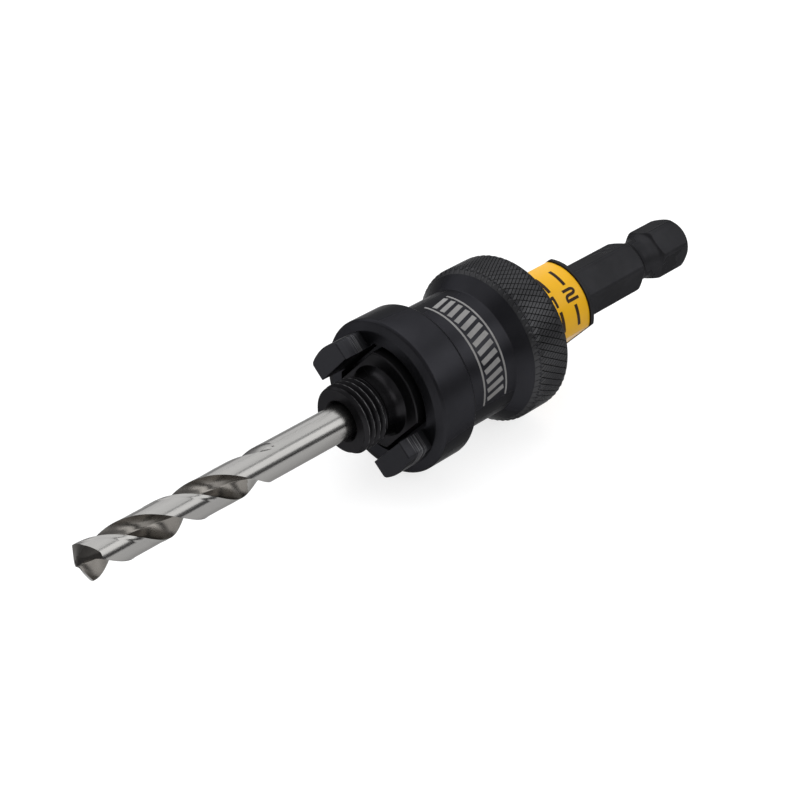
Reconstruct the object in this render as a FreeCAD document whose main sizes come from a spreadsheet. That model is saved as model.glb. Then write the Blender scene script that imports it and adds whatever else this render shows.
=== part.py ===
import FreeCAD, Part
import math
import os
import re

import Sketcher

# Hole saw arbor, in millimetres. It lies on its side: the row's +X runs along the
# arbor from the pilot drill's tip to the hexagon shank, +Z is up, and the origin lies
# under its middle, at the height where the knurled grip rests.
# Each piece is drawn with its own Z along the arbor, counted from the front face of
# the flange where the saw's back plate seats, and its own X through the drive dogs.
# Its Placement turns it into the row's frame.

doc = FreeCAD.newDocument("hole_saw_arbor")
sheet = doc.addObject("Spreadsheet::Sheet", "sizes")

driving_sizes = [
    ("key_clock", 49.0, "degrees from straight up to the line through the dogs"),
    ("hex_clock", 58.0, "degrees from that line to a corner of the hexagon"),
    ("running_gap", 0.07, "radial gap of the sleeve on its guide"),
    ("seat_gap", 0.05, "end gap between pieces that seat on each other"),
    ("slip_gap", 0.04, "radial gap of a piece that is pushed into a bore"),
    ("thread_radius", 6.35, "1/2 inch nose thread over its crests"),
    ("nose_length", 9.1, "flange face to the end of the nose"),
    ("nose_chamfer", 0.5, "chamfer at the end of the nose"),
    ("neck_length", 3.6, "thread relief between thread and flange"),
    ("neck_radius", 5.7, "thread relief"),
    ("neck_root", 0.7, "cone from the relief to the flange"),
    ("flange_radius", 9.2, "double-D flange over its round sides"),
    ("flange_thickness", 4.0, ""),
    ("flange_edge", 0.25, "edge break on the flange's front face"),
    ("flat_distance", 7.25, "axis to each flat of flange and guide bar"),
    ("bar_radius", 8.9, "double-D guide bar over its round sides"),
    ("bar_length", 47.6, "flange face to the rear of the guide bar"),
    ("rim_thickness", 0.9, "rim of the bar behind the indicator"),
    ("indicator_length", 15.2, "numbered plastic ring"),
    ("indicator_radius", 8.6, "numbered ring over its round sides"),
    ("indicator_bore", 6.4, "turned seat of the numbered ring"),
    ("indicator_slit", 0.6, "slit that lets the ring snap on"),
    ("indicator_inset", 0.08, "ring's flats below the bar's flats"),
    ("hex_across", 9.525, "3/8 inch hexagon over its flats"),
    ("hex_round", 5.35, "hexagon over its rounded corners, as a radius"),
    ("shank_length", 34.8, "rear of the bar to the end of the shank"),
    ("shank_taper", 1.4, "length of the shank's chamfered end"),
    ("shank_end_radius", 4.3, "flat end of the shank"),
    ("latch_from_end", 11.8, "middle of the chuck's ball groove to the end"),
    ("latch_width", 6.7, "ball groove over its edges"),
    ("latch_side", 4.5, "radius where the groove's round bottom begins"),
    ("latch_side_width", 5.6, "groove between those places"),
    ("latch_floor", 3.95, "radius left at the bottom of the ball groove"),
    ("latch_floor_width", 2.8, "straight bottom of the ball groove"),
    ("pilot_radius", 3.175, "1/4 inch pilot drill"),
    ("pilot_length", 75.6, "pilot drill over all"),
    ("pilot_bore_depth", 20.0, "nose end to the bottom of the bore"),
    ("pilot_countersink", 0.65, "countersink of the bore"),
    ("pilot_flat_depth", 0.45, "clamping flat on the drill's shank"),
    ("pilot_flat_length", 8.0, ""),
    ("flute_length", 40.9, "point to the end of the flutes"),
    ("flute_lead", 29.65, "one turn of a flute"),
    ("flute_radius", 2.3, "round bottom of a flute"),
    ("flute_web", 1.27, "core between the two flutes"),
    ("flute_runout", 12.7, "stretch in which a flute climbs out"),
    ("flute_clock", 120.5, "turn of the flutes about the drill's axis"),
    ("point_angle", 135.0, "drill point"),
    ("screw_radius", 2.1, "pilot clamping screw"),
    ("screw_station", 6.0, "flange face to the clamping screw"),
    ("screw_length", 5.2, ""),
    ("screw_socket_across", 2.5, "hexagon socket of the screw"),
    ("screw_socket_depth", 2.2, ""),
    ("screw_cup_radius", 1.2, "clamping end of the screw"),
    ("ball_radius", 1.6, "index ball"),
    ("ball_station", 14.6, "flange face to the index balls"),
    ("ball_pocket_floor", 1.5, "axis to the floor of a ball pocket"),
    ("ball_wire_radius", 0.22, "wire of an index spring"),
    ("ball_coil_radius", 1.1, "index spring to the middle of its wire"),
    ("ball_coils", 4.0, "turns of an index spring"),
    ("index_step", 4.5, "travel from one sleeve position to the next"),
    ("index_count", 3.0, "sleeve positions"),
    ("index_groove_depth", 0.45, "groove in the sleeve for the balls"),
    ("index_groove_half", 1.0, "half the width of that groove"),
    ("clip_thickness", 1.2, "retaining ring behind the sleeve's web"),
    ("clip_depth", 0.65, "groove of the retaining ring"),
    ("clip_band", 1.7, "radial width of the retaining ring"),
    ("clip_lug_radius", 1.15, "ear of the retaining ring"),
    ("clip_eye_radius", 0.5, "plier hole in an ear"),
    ("clip_ear_angle", 17.0, "degrees from the ring's gap to an ear"),
    ("face_station", 1.0, "flange face back to the sleeve's front face"),
    ("face_radius", 12.6, "flat front face of the sleeve"),
    ("rim_radius", 14.2, "outer edge of the sleeve's front cone"),
    ("rim_rise", 0.45, "front face back to that edge"),
    ("rim_round", 0.35, "edge break from the rim to the cup"),
    ("cup_radius", 14.5, "front of the sleeve"),
    ("cup_length", 9.2, "front of the sleeve to the waist"),
    ("cup_shoulder", 0.55, "sloped step from cup to waist"),
    ("cup_chamfer", 0.7, "chamfer behind the cup"),
    ("waist_radius", 12.1, "middle of the sleeve"),
    ("waist_length", 12.1, "cup to the flare"),
    ("flare_length", 3.5, "cone from the waist to the grip"),
    ("grip_radius", 15.0, "knurled grip over its points"),
    ("grip_length", 7.8, "knurled grip"),
    ("grip_round", 1.4, "rounded rear edge of the grip, as two cones"),
    ("recess_gap", 1.15, "space round the flange in the sleeve's mouth"),
    ("web_length", 13.15, "part of the sleeve that rides on the bar"),
    ("counterbore_radius", 10.8, "rear bore of the sleeve"),
    ("dog_reach", 5.6, "dogs ahead of the sleeve's front face"),
    ("dog_half_width", 4.6, ""),
    ("dog_round", 0.5, "rounded outer corners of a dog"),
    ("bush_length", 2.4, "guide bush in the sleeve's rear bore"),
    ("bush_inset", 0.3, "bush below the sleeve's rear face"),
]
for row, (alias, value, note) in enumerate(driving_sizes, start=1):
    sheet.set(f"A{row}", alias)
    sheet.set(f"B{row}", str(value))
    sheet.set(f"C{row}", note)
    sheet.setAlias(f"B{row}", alias)
doc.recompute()
aliases = [alias for alias, value, note in driving_sizes]


def cells(text):
    """Writes an expression on the sheet's aliases as the document reads it."""
    return re.sub(r"\b(" + "|".join(aliases) + r")\b", r"sizes.\1", text)


def size(alias):
    return float(sheet.get(alias))


# Stations along the arbor, from the flange's front face, as expressions
thread_end = "(-neck_length)"
nose_end = "(-nose_length)"
sleeve_rear = "(face_station + cup_length + waist_length + flare_length + grip_length)"
web_front = "(flange_thickness + seat_gap - face_station)"
web_rear = "(flange_thickness + seat_gap - face_station + web_length)"
travel = "((index_count - 1) * index_step)"
clip_front = f"(face_station + {web_rear} + {travel} + seat_gap)"
indicator_front = "(bar_length - rim_thickness - indicator_length)"
shank_end = "(bar_length + shank_length)"
latch_middle = f"({shank_end} - latch_from_end)"
hex_corner = "(hex_across / sqrt(3))"
pilot_rear = "(pilot_bore_depth - nose_length - seat_gap)"
bore_radius = "(pilot_radius + slip_gap)"
flange_place = f"(-({shank_end} + {pilot_rear} - pilot_length) / 2)"


def origin_plane(body, role):
    return [part for part in body.Origin.OriginFeatures if part.Role == role][0]


def new_body(label):
    body = doc.addObject("PartDesign::Body", label)
    body.Label = label
    return body


def new_sketch(body, name, role, height="0"):
    sketch = body.newObject("Sketcher::SketchObject", name)
    sketch.AttachmentSupport = [(origin_plane(body, role), "")]
    sketch.MapMode = "FlatFace"
    sketch.setExpression(".AttachmentOffset.Base.z", cells(height))
    return sketch


def pin_point(sketch, geometry, end, across, up):
    """Ties one end of a line to its place, given as two expressions."""
    for kind, axis, text in (("DistanceX", -2, across), ("DistanceY", -1, up)):
        if text == "0":
            sketch.addConstraint(Sketcher.Constraint("PointOnObject", geometry, end, axis))
        else:
            index = sketch.addConstraint(Sketcher.Constraint(kind, geometry, end, 1.0))
            sketch.setExpression(f"Constraints[{index}]", cells(text))


def add_outline(sketch, corners):
    """Closed outline of straight lines through corners, each a pair of expressions."""
    first = sketch.GeometryCount
    count = len(corners)
    rough = [FreeCAD.Vector(evaluate(across), evaluate(up), 0) for across, up in corners]
    for number in range(count):
        sketch.addGeometry(Part.LineSegment(rough[number], rough[(number + 1) % count]), False)
    for number in range(count):
        follower = first + (number + 1) % count
        sketch.addConstraint(Sketcher.Constraint("Coincident", first + number, 2, follower, 1))
    for number, (across, up) in enumerate(corners):
        pin_point(sketch, first + number, 1, across, up)


def add_circle(sketch, radius, across="0", up="0"):
    middle = FreeCAD.Vector(evaluate(across), evaluate(up), 0)
    circle = Part.Circle(middle, FreeCAD.Vector(0, 0, 1), evaluate(radius))
    number = sketch.addGeometry(circle, False)
    pin_point(sketch, number, 3, across, up)
    index = sketch.addConstraint(Sketcher.Constraint("Radius", number, 1.0))
    sketch.setExpression(f"Constraints[{index}]", cells(radius))


def add_double_d(sketch, radius, flat):
    """Two arcs about the origin, joined by two flats square to the sketch's X."""
    big, near = evaluate(radius), evaluate(flat)
    turn = math.acos(near / big)
    rise = big * math.sin(turn)
    circle = Part.Circle(FreeCAD.Vector(0, 0, 0), FreeCAD.Vector(0, 0, 1), big)
    right = Part.LineSegment(FreeCAD.Vector(near, -rise, 0), FreeCAD.Vector(near, rise, 0))
    left = Part.LineSegment(FreeCAD.Vector(-near, rise, 0), FreeCAD.Vector(-near, -rise, 0))
    upper = Part.ArcOfCircle(circle, turn, math.pi - turn)
    lower = Part.ArcOfCircle(circle, math.pi + turn, 2 * math.pi - turn)
    side, top, far, low = [sketch.addGeometry(item, False) for item in (right, upper, left, lower)]
    for one, two in ((side, top), (top, far), (far, low), (low, side)):
        sketch.addConstraint(Sketcher.Constraint("Coincident", one, 2, two, 1))
    for arc in (top, low):
        sketch.addConstraint(Sketcher.Constraint("Coincident", arc, 3, -1, 1))
    for line in (side, far):
        sketch.addConstraint(Sketcher.Constraint("Vertical", line))
    sketch.addConstraint(Sketcher.Constraint("Equal", top, low))
    index = sketch.addConstraint(Sketcher.Constraint("Radius", top, big))
    sketch.setExpression(f"Constraints[{index}]", cells(radius))
    for line, value, text in ((side, near, flat), (far, -near, f"-({flat})")):
        index = sketch.addConstraint(Sketcher.Constraint("DistanceX", line, 1, value))
        sketch.setExpression(f"Constraints[{index}]", cells(text))


def evaluate(text):
    """Value of an expression now, for the first rough place of sketch geometry."""
    return float(sheet.evalExpression(cells(text)))


def revolve(body, name, sketch):
    feature = body.newObject("PartDesign::Revolution", name)
    feature.Profile = sketch
    feature.ReferenceAxis = (sketch, ["V_Axis"])
    feature.Angle = 360
    return feature


def groove(body, name, sketch):
    feature = body.newObject("PartDesign::Groove", name)
    feature.Profile = sketch
    feature.ReferenceAxis = (sketch, ["V_Axis"])
    feature.Angle = 360
    return feature


def extrude(body, name, sketch, length, kind="Pad", backwards=False):
    feature = body.newObject(f"PartDesign::{kind}", name)
    feature.Profile = sketch
    feature.setExpression("Length", cells(length))
    feature.Reversed = backwards
    return feature


def along_arbor(piece, station="0"):
    """Turns a piece's own Z to the row's X and its own X to the line of the dogs."""
    turn_clock = FreeCAD.Rotation(FreeCAD.Vector(1, 0, 0), 180 - size("key_clock"))
    turn_axis = FreeCAD.Rotation(FreeCAD.Vector(0, 1, 0), 90)
    piece.Placement = FreeCAD.Placement(FreeCAD.Vector(), turn_clock.multiply(turn_axis))
    piece.setExpression(".Placement.Base.x", cells(f"{flange_place} + {station}"))
    piece.setExpression(".Placement.Base.z", "sizes.grip_radius")


# One turned bar: threaded nose, neck, flange, guide bar with its ring seats, shank
def make_arbor_body():
    body = new_body("arbor_body")
    profile = new_sketch(body, "body_profile", "XZ_Plane")
    clip_floor = "bar_radius - clip_depth"
    add_outline(profile, [
        ("0", nose_end),
        ("thread_radius - nose_chamfer", nose_end),
        ("thread_radius", f"{nose_end} + nose_chamfer"),
        ("thread_radius", f"{thread_end} - (thread_radius - neck_radius)"),
        ("neck_radius", thread_end),
        ("neck_radius", "-neck_root"),
        ("neck_radius + neck_root", "0"),
        ("flange_radius - flange_edge", "0"),
        ("flange_radius", "flange_edge"),
        ("flange_radius", "flange_thickness"),
        ("bar_radius", "flange_thickness"),
        ("bar_radius", clip_front),
        (clip_floor, clip_front),
        (clip_floor, f"{clip_front} + clip_thickness + seat_gap"),
        ("bar_radius", f"{clip_front} + clip_thickness + seat_gap"),
        ("bar_radius", f"{indicator_front} - seat_gap"),
        ("indicator_bore", f"{indicator_front} - seat_gap"),
        ("indicator_bore", "bar_length - rim_thickness"),
        ("bar_radius", "bar_length - rim_thickness"),
        ("bar_radius", "bar_length"),
        ("hex_round", "bar_length"),
        ("hex_round", f"{latch_middle} - latch_width / 2"),
        ("latch_side", f"{latch_middle} - latch_side_width / 2"),
        ("latch_floor", f"{latch_middle} - latch_floor_width / 2"),
        ("latch_floor", f"{latch_middle} + latch_floor_width / 2"),
        ("latch_side", f"{latch_middle} + latch_side_width / 2"),
        ("hex_round", f"{latch_middle} + latch_width / 2"),
        ("hex_round", f"{shank_end} - shank_taper"),
        ("shank_end_radius", shank_end),
        ("0", shank_end),
    ])
    revolve(body, "turned_bar", profile)

    flats = new_sketch(body, "flat_cuts", "XY_Plane")
    for side in ("", "-"):
        add_outline(flats, [
            (f"{side}flat_distance", "-(flange_radius + 1)"),
            (f"{side}flat_distance", "flange_radius + 1"),
            (f"{side}(flange_radius + 1)", "flange_radius + 1"),
            (f"{side}(flange_radius + 1)", "-(flange_radius + 1)"),
        ])
    extrude(body, "milled_flats", flats, "bar_length", "Pocket", True)

    shank = new_sketch(body, "shank_cuts", "XY_Plane", "bar_length")
    add_circle(shank, "bar_radius + 1")
    corners = []
    for number in range(6):
        turn = f"(hex_clock + {60 * number}) * 1 deg"
        corners.append((f"{hex_corner} * cos({turn})", f"{hex_corner} * sin({turn})"))
    add_outline(shank, corners)
    extrude(body, "milled_hexagon", shank, "shank_length", "Pocket", True)

    bore = new_sketch(body, "bore_profile", "XZ_Plane")
    bottom = "pilot_bore_depth - nose_length"
    add_outline(bore, [
        ("0", f"{nose_end} - 1"),
        (f"{bore_radius} + pilot_countersink + 1", f"{nose_end} - 1"),
        (bore_radius, f"{nose_end} + pilot_countersink"),
        (bore_radius, bottom),
        ("0", f"{bottom} + {bore_radius} / 2"),
    ])
    groove(body, "pilot_bore", bore)

    pocket = new_sketch(body, "ball_pocket_circle", "XZ_Plane", "ball_pocket_floor")
    add_circle(pocket, "ball_radius + slip_gap", "0", "ball_station")
    first = extrude(body, "ball_pocket", pocket, "bar_radius", "Pocket", True)
    doc.recompute()
    pair = body.newObject("PartDesign::PolarPattern", "ball_pockets")
    pair.Originals = [first]
    pair.Axis = (origin_plane(body, "Z_Axis"), [""])
    pair.Angle = 360
    pair.Occurrences = 2
    body.Tip = pair

    tapped = new_sketch(body, "screw_circle", "XZ_Plane")
    add_circle(tapped, "screw_radius + slip_gap", "0", "screw_station")
    extrude(body, "screw_hole", tapped, "flange_radius + 1", "Pocket", False)
    along_arbor(body)
    return body


# Cup, waist, flare and grip turned in one, with the two dogs milled at its mouth
def make_sliding_sleeve():
    body = new_body("sliding_sleeve")
    profile = new_sketch(body, "sleeve_profile", "XZ_Plane")
    rear = "(cup_length + waist_length + flare_length + grip_length)"
    add_outline(profile, [
        ("0", "0"),
        ("face_radius", "0"),
        ("rim_radius", "rim_rise"),
        ("cup_radius", "rim_rise + rim_round"),
        ("cup_radius", "cup_length - cup_shoulder - cup_chamfer"),
        ("cup_radius - cup_chamfer", "cup_length - cup_shoulder"),
        ("waist_radius", "cup_length"),
        ("waist_radius", "cup_length + waist_length"),
        ("grip_radius", "cup_length + waist_length + flare_length"),
        ("grip_radius", f"{rear} - grip_round"),
        ("grip_radius - 0.3 * grip_round", f"{rear} - 0.3 * grip_round"),
        ("grip_radius - grip_round", rear),
        ("counterbore_radius", rear),
        ("counterbore_radius", web_rear),
        ("0", web_rear),
    ])
    revolve(body, "turned_sleeve", profile)

    outline = new_sketch(body, "dog_outline", "XY_Plane")
    add_dog(outline)
    first = extrude(body, "dog", outline, "dog_reach", "Pad", True)
    doc.recompute()
    pair = body.newObject("PartDesign::PolarPattern", "dogs")
    pair.Originals = [first]
    pair.Axis = (origin_plane(body, "Z_Axis"), [""])
    pair.Angle = 360
    pair.Occurrences = 2
    body.Tip = pair
    doc.recompute()
    broken = body.newObject("PartDesign::Fillet", "dog_corners")
    broken.Base = (pair, dog_corners(pair))
    broken.setExpression("Radius", "sizes.dog_round")

    mouth = new_sketch(body, "mouth_outline", "XY_Plane")
    add_double_d(mouth, "flange_radius + recess_gap", "flat_distance + recess_gap")
    extrude(body, "mouth", mouth, web_front, "Pocket", True)

    guide = new_sketch(body, "guide_outline", "XY_Plane")
    add_double_d(guide, "bar_radius + running_gap", "flat_distance + running_gap")
    extrude(body, "guide_bore", guide, f"{web_rear} + 1", "Pocket", True)

    notch = new_sketch(body, "index_profile", "XZ_Plane")
    wall = "(bar_radius + running_gap)"
    middle = "(ball_station - face_station)"
    add_outline(notch, [
        ("0", f"{middle} - index_groove_half"),
        (wall, f"{middle} - index_groove_half"),
        (f"{wall} + index_groove_depth", middle),
        (wall, f"{middle} + index_groove_half"),
        ("0", f"{middle} + index_groove_half"),
    ])
    last = groove(body, "index_groove", notch)
    doc.recompute()
    row = body.newObject("PartDesign::LinearPattern", "index_grooves")
    row.Originals = [last]
    row.Direction = (origin_plane(body, "Z_Axis"), [""])
    row.Reversed = True
    row.setExpression("Length", cells(travel))
    row.setExpression("Occurrences", cells("index_count"))
    body.Tip = row
    along_arbor(body, "face_station")
    return body


def add_dog(sketch):
    """One dog seen from the front: a flat inside and an arc outside."""
    near = evaluate("flat_distance + recess_gap")
    half = size("dog_half_width")
    far = math.sqrt(size("face_radius") ** 2 - half ** 2)
    turn = math.atan2(half, far)
    circle = Part.Circle(FreeCAD.Vector(0, 0, 0), FreeCAD.Vector(0, 0, 1), size("face_radius"))
    low = Part.LineSegment(FreeCAD.Vector(near, -half, 0), FreeCAD.Vector(far, -half, 0))
    arc = Part.ArcOfCircle(circle, -turn, turn)
    high = Part.LineSegment(FreeCAD.Vector(far, half, 0), FreeCAD.Vector(near, half, 0))
    back = Part.LineSegment(FreeCAD.Vector(near, half, 0), FreeCAD.Vector(near, -half, 0))
    names = [sketch.addGeometry(item, False) for item in (low, arc, high, back)]
    for number in range(4):
        follower = names[(number + 1) % 4]
        sketch.addConstraint(Sketcher.Constraint("Coincident", names[number], 2, follower, 1))
    sketch.addConstraint(Sketcher.Constraint("Coincident", names[1], 3, -1, 1))
    sketch.addConstraint(Sketcher.Constraint("Horizontal", names[0]))
    sketch.addConstraint(Sketcher.Constraint("Horizontal", names[2]))
    pin_point(sketch, names[0], 1, "flat_distance + recess_gap", "-dog_half_width")
    pin_point(sketch, names[2], 2, "flat_distance + recess_gap", "dog_half_width")
    index = sketch.addConstraint(Sketcher.Constraint("Radius", names[1], size("face_radius")))
    sketch.setExpression(f"Constraints[{index}]", cells("face_radius"))


def dog_corners(feature):
    """Names of the edges along the arbor at the outer corners of both dogs."""
    half, radius = size("dog_half_width"), size("face_radius")
    names = []
    for number, edge in enumerate(feature.Shape.Edges, start=1):
        low, high = edge.Vertexes[0].Point, edge.Vertexes[-1].Point
        level = abs(low.z - high.z) > size("dog_reach") - 0.01 and low.z < 0.01
        outer = abs(math.hypot(low.x, low.y) - radius) < 1e-3 and abs(abs(low.y) - half) < 1e-3
        straight = math.hypot(low.x - high.x, low.y - high.y) < 1e-4
        if level and outer and straight:
            names.append(f"Edge{number}")
    return names


# Numbered plastic ring, double-D like the bar, slit on the side away from the screw
def make_indicator_ring():
    body = new_body("indicator_ring")
    outline = new_sketch(body, "ring_outline", "XY_Plane")
    add_double_d(outline, "indicator_radius", "flat_distance - indicator_inset")
    add_circle(outline, "indicator_bore + slip_gap")
    extrude(body, "ring", outline, "indicator_length - seat_gap")
    slit = new_sketch(body, "slit_outline", "XY_Plane")
    add_outline(slit, [
        ("-indicator_slit / 2", "0"),
        ("indicator_slit / 2", "0"),
        ("indicator_slit / 2", "-(indicator_radius + 1)"),
        ("-indicator_slit / 2", "-(indicator_radius + 1)"),
    ])
    extrude(body, "slit", slit, "indicator_length", "Pocket", True)
    along_arbor(body, indicator_front)
    return body


# Guide bush pressed into the sleeve's rear bore
def make_rear_bush():
    body = new_body("rear_bush")
    profile = new_sketch(body, "bush_profile", "XZ_Plane")
    bore = "(bar_radius + running_gap)"
    add_outline(profile, [
        (bore, "0"),
        ("counterbore_radius", "0"),
        ("counterbore_radius", "bush_length"),
        (bore, "bush_length"),
    ])
    revolve(body, "bush", profile)
    along_arbor(body, f"{sleeve_rear} - bush_inset - bush_length")
    return body


# External retaining ring that stops the sleeve's web at the end of its travel
def make_stop_clip():
    inner = "(bar_radius - clip_depth + slip_gap)"
    band = doc.addObject("Part::Cylinder", "clip_band")
    band.setExpression("Radius", cells(f"{inner} + clip_band"))
    band.setExpression("Height", cells("clip_thickness"))
    hole = doc.addObject("Part::Cylinder", "clip_hole")
    hole.setExpression("Radius", cells(inner))
    hole.setExpression("Height", cells("clip_thickness"))
    reach = f"({inner} + clip_lug_radius)"
    ears, eyes = [], []
    for side, name in ((1, "left"), (-1, "right")):
        angle = f"(90 + {side} * clip_ear_angle) * 1 deg"
        for kind, radius, group in (("ear", "clip_lug_radius", ears), ("eye", "clip_eye_radius", eyes)):
            disc = doc.addObject("Part::Cylinder", f"clip_{kind}_{name}")
            disc.setExpression("Radius", cells(radius))
            disc.setExpression("Height", cells("clip_thickness"))
            disc.setExpression(".Placement.Base.x", cells(f"{reach} * cos({angle})"))
            disc.setExpression(".Placement.Base.y", cells(f"{reach} * sin({angle})"))
            group.append(disc)
    gap = doc.addObject("Part::Box", "clip_gap")
    gap_half = f"({reach} * sin(clip_ear_angle * 1 deg) - clip_lug_radius)"
    gap.setExpression("Length", cells(f"2 * {gap_half}"))
    gap.setExpression("Width", cells("2 * bar_radius"))
    gap.setExpression("Height", cells("clip_thickness"))
    gap.setExpression(".Placement.Base.x", cells(f"-{gap_half}"))
    solid = doc.addObject("Part::MultiFuse", "clip_solid")
    solid.Shapes = [band] + ears
    cutters = doc.addObject("Part::MultiFuse", "clip_cutters")
    cutters.Shapes = [hole, gap] + eyes
    clip = doc.addObject("Part::Cut", "stop_clip")
    clip.Label = "stop_clip"
    clip.Base = solid
    clip.Tool = cutters
    along_arbor(clip, f"{clip_front} + seat_gap / 2")
    return clip


# Socket set screw that clamps the pilot drill through the side of the bar
def make_pilot_screw():
    body = new_body("pilot_screw")
    profile = new_sketch(body, "screw_profile", "XZ_Plane")
    add_outline(profile, [
        ("0", "0"),
        ("screw_cup_radius", "0"),
        ("screw_radius", "screw_radius - screw_cup_radius"),
        ("screw_radius", "screw_length - 0.25"),
        ("screw_radius - 0.25", "screw_length"),
        ("0", "screw_length"),
    ])
    revolve(body, "screw", profile)
    socket = new_sketch(body, "socket_outline", "XY_Plane", "screw_length")
    corners = []
    for number in range(6):
        turn = f"{60 * number} * 1 deg"
        reach = "screw_socket_across / sqrt(3)"
        corners.append((f"{reach} * cos({turn})", f"{reach} * sin({turn})"))
    add_outline(socket, corners)
    extrude(body, "socket", socket, "screw_socket_depth", "Pocket", False)
    foot = size("pilot_radius") - size("pilot_flat_depth")
    place_radially(body, foot, size("screw_station"), 1)
    return body


def place_radially(piece, radius, station, side):
    """Stands a piece's own Z on the bar's round side, at a radius and a station."""
    key = math.radians(size("key_clock"))
    outwards = FreeCAD.Vector(0, -side * math.cos(key), side * math.sin(key))
    turn = FreeCAD.Rotation(FreeCAD.Vector(0, 0, 1), outwards)
    foot = FreeCAD.Vector(evaluate(flange_place) + station, 0, size("grip_radius"))
    place = foot + outwards * radius
    piece.Placement = FreeCAD.Placement(place, turn)


# Index balls, drawn pressed in flush with the bar so that the sleeve can pass them
def make_index_ball(name, side):
    ball = doc.addObject("Part::Sphere", name)
    ball.Label = name
    ball.setExpression("Radius", cells("ball_radius"))
    place_radially(ball, size("bar_radius") - size("ball_radius"), size("ball_station"), side)
    return ball


def make_index_spring(name, side):
    wire = size("ball_wire_radius")
    floor = size("ball_pocket_floor") + wire
    contact = math.sqrt((size("ball_radius") + wire) ** 2 - size("ball_coil_radius") ** 2)
    top = size("bar_radius") - size("ball_radius") - contact
    helix = doc.addObject("Part::Helix", f"{name}_line")
    helix.setExpression("Radius", cells("ball_coil_radius"))
    helix.Height = top - floor
    helix.Pitch = (top - floor) / size("ball_coils")
    section = doc.addObject("Part::RegularPolygon", f"{name}_section")
    section.Polygon = 4
    section.setExpression("Circumradius", cells("ball_wire_radius"))
    upright = FreeCAD.Rotation(FreeCAD.Vector(1, 0, 0), 90)
    section.Placement = FreeCAD.Placement(FreeCAD.Vector(size("ball_coil_radius"), 0, 0), upright)
    spring = doc.addObject("Part::Sweep", name)
    spring.Label = name
    spring.Sections = [section]
    spring.Spine = (helix, ["Edge1"])
    spring.Solid = True
    spring.Frenet = True
    place_radially(spring, floor, size("ball_station"), side)
    return spring


# Twist drill: blank with its point, two flutes that climb out towards the shank
def make_pilot_drill():
    length, radius = size("pilot_length"), size("pilot_radius")
    point = radius / math.tan(math.radians(size("point_angle") / 2))
    blank = Part.makeCylinder(radius, length - point, FreeCAD.Vector(0, 0, point))
    blank = blank.fuse(Part.makeCone(0.0, radius, point)).removeSplitter()
    for start in (0, 180):
        blank = blank.cut(flute_cutter(size("flute_clock") + start))
    flat_middle = length - (evaluate(pilot_rear) - size("screw_station"))
    edge = radius - size("pilot_flat_depth")
    flat_box = Part.makeBox(2 * radius, radius, size("pilot_flat_length"))
    flat_box.translate(FreeCAD.Vector(-radius, edge, flat_middle - size("pilot_flat_length") / 2))
    blank = blank.cut(flat_box)
    drill = doc.addObject("Part::Feature", "pilot_drill")
    drill.Label = "pilot_drill"
    drill.Shape = blank
    along_arbor(drill, f"{pilot_rear} - pilot_length")
    return drill


def flute_cutter(clock):
    """Round cutter lofted along the flute's helix, leaving the drill at the run-out."""
    lead, runout = size("flute_lead"), size("flute_runout")
    depth_place = size("flute_web") / 2 + size("flute_radius")
    clear_place = size("pilot_radius") + size("flute_radius") + 0.1
    steps_per_turn = 16
    end = size("flute_length")
    count = math.ceil(end / lead * steps_per_turn)
    rings = []
    for step in range(count + 1):
        height = end * step / count
        climb = max(0.0, (height - (end - runout)) / runout)
        place = depth_place + (clear_place - depth_place) * climb ** 2
        turn = math.radians(clock) + 2 * math.pi * height / lead
        middle = FreeCAD.Vector(place * math.cos(turn), place * math.sin(turn), height)
        ring = Part.makeCircle(size("flute_radius"), middle, FreeCAD.Vector(0, 0, 1))
        rings.append(Part.Wire([ring]))
    return Part.makeLoft(rings, True, False)


pieces = [
    make_arbor_body(),
    make_sliding_sleeve(),
    make_indicator_ring(),
    make_rear_bush(),
    make_stop_clip(),
    make_pilot_screw(),
    make_pilot_drill(),
]
for side, name in ((1, "upper"), (-1, "lower")):
    pieces.append(make_index_ball(f"index_ball_{name}", side))
    pieces.append(make_index_spring(f"index_spring_{name}", side))
doc.recompute()

for item in doc.Objects:
    if "Invalid" in item.State or "Error" in item.State:
        raise RuntimeError(f"{item.Label} failed: {item.State}")
for piece in pieces:
    shape = piece.Shape
    if shape.isNull() or not shape.isValid() or len(shape.Solids) != 1:
        raise RuntimeError(f"{piece.Label} is not one valid solid")

os.makedirs("parts", exist_ok=True)
for piece in pieces:
    piece.Shape.exportStep(f"parts/{piece.Label}.step")
    box = piece.Shape.BoundBox
    print(f"{piece.Label}: {piece.Shape.Volume:.1f} mm3, x {box.XMin:.2f} to {box.XMax:.2f}")
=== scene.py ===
import math

import bmesh
import bpy
import numpy as np
from mathutils import Matrix, Vector


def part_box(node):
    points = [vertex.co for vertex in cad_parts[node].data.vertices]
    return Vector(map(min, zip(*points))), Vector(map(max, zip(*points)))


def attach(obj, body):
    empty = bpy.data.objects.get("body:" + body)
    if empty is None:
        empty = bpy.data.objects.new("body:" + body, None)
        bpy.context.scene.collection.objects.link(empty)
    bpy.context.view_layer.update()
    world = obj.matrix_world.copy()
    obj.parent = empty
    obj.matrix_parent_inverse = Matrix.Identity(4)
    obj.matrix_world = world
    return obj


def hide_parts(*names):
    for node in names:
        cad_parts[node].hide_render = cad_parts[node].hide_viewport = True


# Hole saw arbor. Sizes are in millimetres and angles in degrees; a station is counted
# along the arbor from the front face of the flange, as in the part's own source.

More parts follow.
